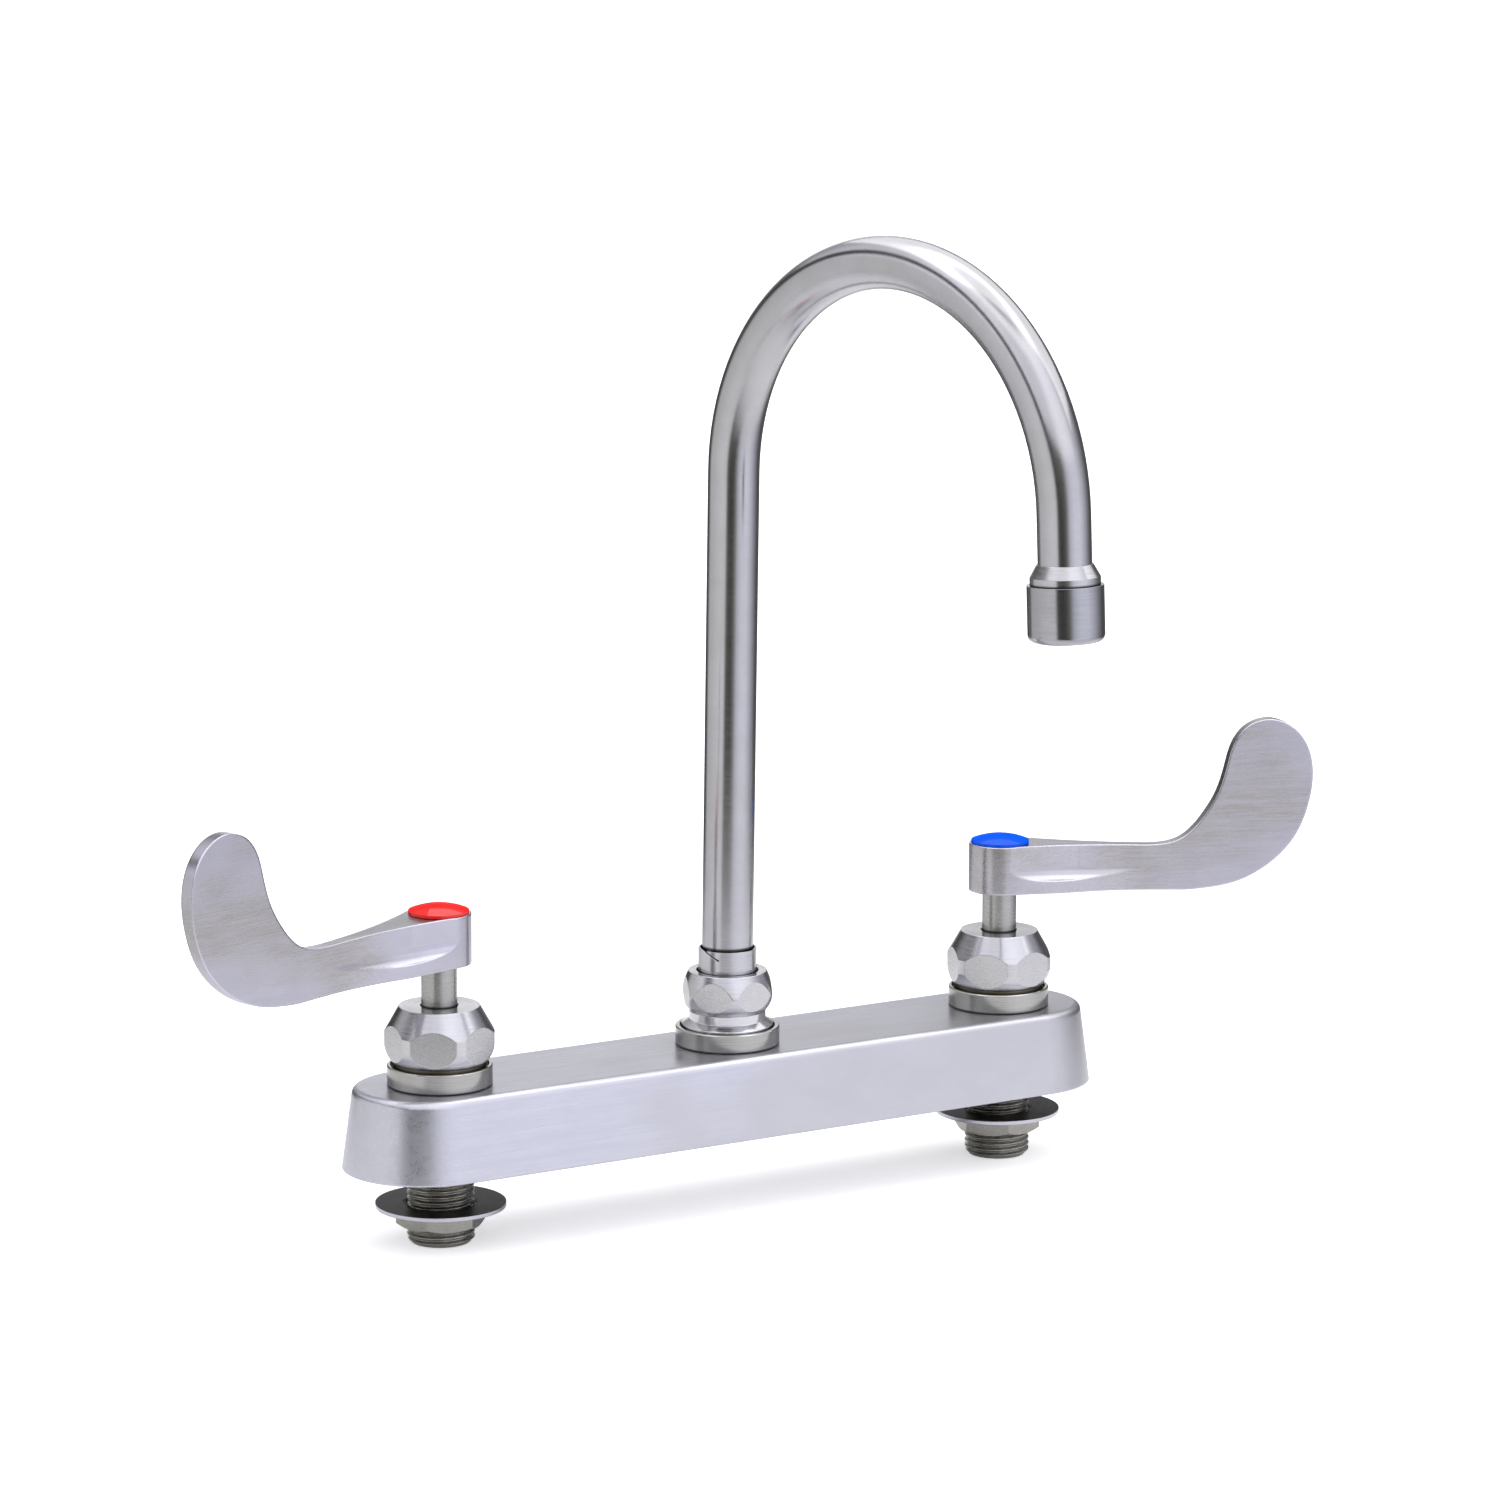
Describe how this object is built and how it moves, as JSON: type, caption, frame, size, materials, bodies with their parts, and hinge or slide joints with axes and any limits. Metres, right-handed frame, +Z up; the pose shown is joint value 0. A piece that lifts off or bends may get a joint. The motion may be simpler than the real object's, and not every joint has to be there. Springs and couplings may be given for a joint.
{
  "type": "deck-mount gooseneck faucet",
  "caption": "Two-handle deck faucet with a swivelling gooseneck spout, wing-blade levers and threaded inlet shanks for fixing through a sink deck.",
  "frame": {"origin": "on the plane of the body's underside, midway between the axes of the two inlet shanks", "axes": "+Z up along the riser, -Y towards the user, +X from the hot valve to the cold valve"},
  "size_m": [0.3973, 0.1782, 0.3058],
  "materials": {
    "cast_stainless": "satin brushed lengthways",
    "blade_stainless": "fine satin brushing",
    "machined_stainless": "turned and lightly polished",
    "polished_stainless": "polished tube",
    "threaded_steel": "cut threads, oiled",
    "washer_steel": "dull pressed steel",
    "cartridge_brass": "machined",
    "ceramic_white": "lapped ceramic",
    "rubber_black": "matt",
    "bearing_plastic": "moulded",
    "hot_button_plastic": "gloss",
    "cold_button_plastic": "gloss"
  },
  "bodies": {
    "base": {"body": "cast_stainless", "hot_valve_collar": "machined_stainless", "hot_bonnet_nut": "machined_stainless", "hot_seat_seal": "rubber_black", "hot_fixed_disc": "ceramic_white", "hot_cartridge": "cartridge_brass", "hot_shank": "threaded_steel", "hot_locknut": "threaded_steel", "hot_mounting_washer": "washer_steel", "cold_valve_collar": "machined_stainless", "cold_bonnet_nut": "machined_stainless", "cold_seat_seal": "rubber_black", "cold_fixed_disc": "ceramic_white", "cold_cartridge": "cartridge_brass", "cold_shank": "threaded_steel", "cold_locknut": "threaded_steel", "cold_mounting_washer": "washer_steel", "spout_collar": "machined_stainless", "spout_post": "machined_stainless", "spout_nut": "machined_stainless", "spout_sleeve": "machined_stainless", "spout_orings": "rubber_black", "spout_thrust_washer": "bearing_plastic"},
    "hot_valve": {"hot_stem": "machined_stainless", "hot_moving_disc": "ceramic_white", "hot_stem_oring": "rubber_black", "hot_handle": "blade_stainless", "hot_handle_screw": "machined_stainless", "hot_index_button": "hot_button_plastic"},
    "cold_valve": {"cold_stem": "machined_stainless", "cold_moving_disc": "ceramic_white", "cold_stem_oring": "rubber_black", "cold_handle": "blade_stainless", "cold_handle_screw": "machined_stainless", "cold_index_button": "cold_button_plastic"},
    "spout": {"gooseneck_tube": "polished_stainless", "spout_snap_ring": "machined_stainless", "outlet_adapter": "machined_stainless", "aerator_shell": "machined_stainless", "aerator_gasket": "rubber_black", "aerator_insert": "bearing_plastic"}
  },
  "joints": [
    {"name": "hot_handle_turn", "type": "hinge", "parent": "base", "child": "hot_valve", "pos_m": [-0.1016, 0, 0.05], "axis": [0, 0, 1], "range_deg": [0, 90]},
    {"name": "cold_handle_turn", "type": "hinge", "parent": "base", "child": "cold_valve", "pos_m": [0.1016, 0, 0.05], "axis": [0, 0, -1], "range_deg": [0, 90]},
    {"name": "spout_swivel", "type": "hinge", "parent": "base", "child": "spout", "pos_m": [0, 0, 0.04], "axis": [0, 0, 1], "continuous": true}
  ]
}
